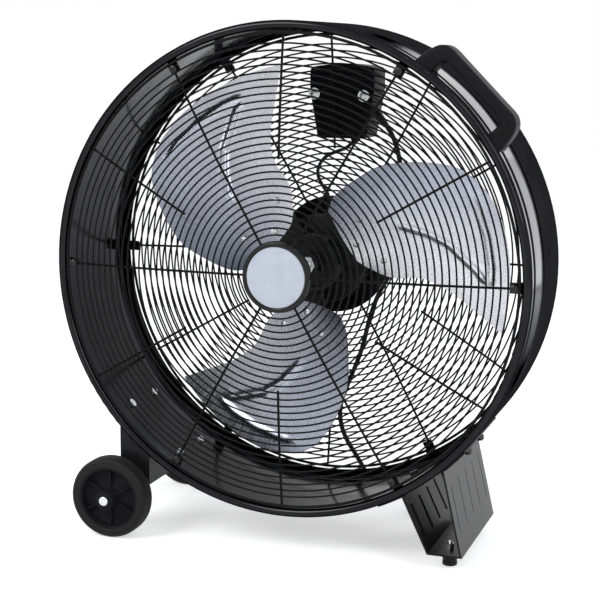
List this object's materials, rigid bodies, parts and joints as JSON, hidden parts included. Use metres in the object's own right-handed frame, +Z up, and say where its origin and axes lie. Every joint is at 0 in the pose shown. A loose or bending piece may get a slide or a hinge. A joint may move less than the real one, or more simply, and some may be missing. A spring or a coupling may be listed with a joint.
{
  "type": "drum fan",
  "caption": "Portable drum fan: a round steel drum with wire guards and a bladed axial fan, on wheels and a channel foot.",
  "frame": {"origin": "on the floor, under the middle of the fan's extent without its power cord", "axes": "+Z up, the fan blows toward -Y, and +X is to the right seen from the front"},
  "size_m": [0.6599, 0.4357, 0.711],
  "materials": {
    "black_paint": "satin powder coat",
    "wire_coating": "satin coated wire",
    "motor_paint": "satin paint",
    "blade_metal": "rolled sheet",
    "hub_paint": "satin paint",
    "rivet_metal": "bright",
    "zinc_steel": "zinc plated",
    "black_screws": "black oxide",
    "core_steel": "laminated",
    "copper_wire": "enamelled copper wire",
    "badge_black": "satin",
    "badge_pale": "smooth",
    "black_plastic": "fine grain",
    "capacitor_white": "smooth",
    "black_rubber": "matt",
    "tyre_rubber": "matt",
    "plug_brass": "nickel plated"
  },
  "bodies": {
    "frame": {"drum_shell": "black_paint", "front_guard_inner_rings": "wire_coating", "front_guard_outer_rings": "wire_coating", "front_guard_radials": "wire_coating", "rear_guard_inner_rings": "wire_coating", "rear_guard_outer_rings": "wire_coating", "rear_guard_radials": "wire_coating", "front_guard_screws": "black_screws", "rear_guard_screws": "black_screws", "badge_bezel": "badge_black", "badge_disc": "badge_pale", "motor_mount_plate": "black_paint", "guard_clamp_plate": "black_paint", "motor_bolts": "zinc_steel", "motor_housing": "motor_paint", "motor_front_cover": "motor_paint", "motor_rear_cover": "motor_paint", "stator_core": "core_steel", "stator_windings": "copper_wire", "motor_bearings": "zinc_steel", "switch_box_body": "black_plastic", "switch_box_cover": "black_plastic", "cover_screws": "zinc_steel", "box_washers": "zinc_steel", "box_screws": "zinc_steel", "speed_switch": "black_plastic", "run_capacitor": "capacitor_white", "cord_gland": "black_rubber", "motor_lead": "black_rubber", "lead_glands": "black_plastic", "handle_grip": "black_plastic", "handle_screws": "zinc_steel", "wheel_bracket": "black_paint", "wheel_bracket_bolts": "zinc_steel", "foot_bracket": "black_paint", "foot_bracket_bolts": "zinc_steel", "foot_bumpers": "black_rubber", "bumper_screws": "zinc_steel", "wheel_axle": "zinc_steel", "axle_caps": "zinc_steel", "rear_wheel_spacer": "black_plastic", "power_cord": "black_rubber", "cord_coil": "black_rubber", "cord_tie": "black_plastic", "cord_tail": "black_rubber", "plug_body": "black_rubber", "plug_pins": "plug_brass"},
    "fan": {"motor_shaft": "zinc_steel", "rotor_core": "core_steel", "hub_spider": "hub_paint", "blade_1": "blade_metal", "blade_2": "blade_metal", "blade_3": "blade_metal", "blade_rivets": "rivet_metal", "hub_nut": "zinc_steel"},
    "front_wheel": {"front_wheel_hub": "black_plastic", "front_tyre": "tyre_rubber"},
    "rear_wheel": {"rear_wheel_hub": "black_plastic", "rear_tyre": "tyre_rubber"},
    "knob": {"speed_knob": "black_plastic"}
  },
  "joints": [
    {"name": "fan_spin", "type": "hinge", "parent": "frame", "child": "fan", "pos_m": [0, 0.01845, 0.381], "axis": [0, 1, 0], "continuous": true},
    {"name": "front_wheel_spin", "type": "hinge", "parent": "frame", "child": "front_wheel", "pos_m": [-0.2465, -0.14195, 0.057], "axis": [0, 1, 0], "continuous": true},
    {"name": "rear_wheel_spin", "type": "hinge", "parent": "frame", "child": "rear_wheel", "pos_m": [-0.2465, 0.12295, 0.057], "axis": [0, 1, 0], "continuous": true},
    {"name": "speed_knob_turn", "type": "hinge", "parent": "frame", "child": "knob", "pos_m": [0.0075, 0.15635, 0.5905], "axis": [0, -1, 0], "range_deg": [0, 135]}
  ]
}
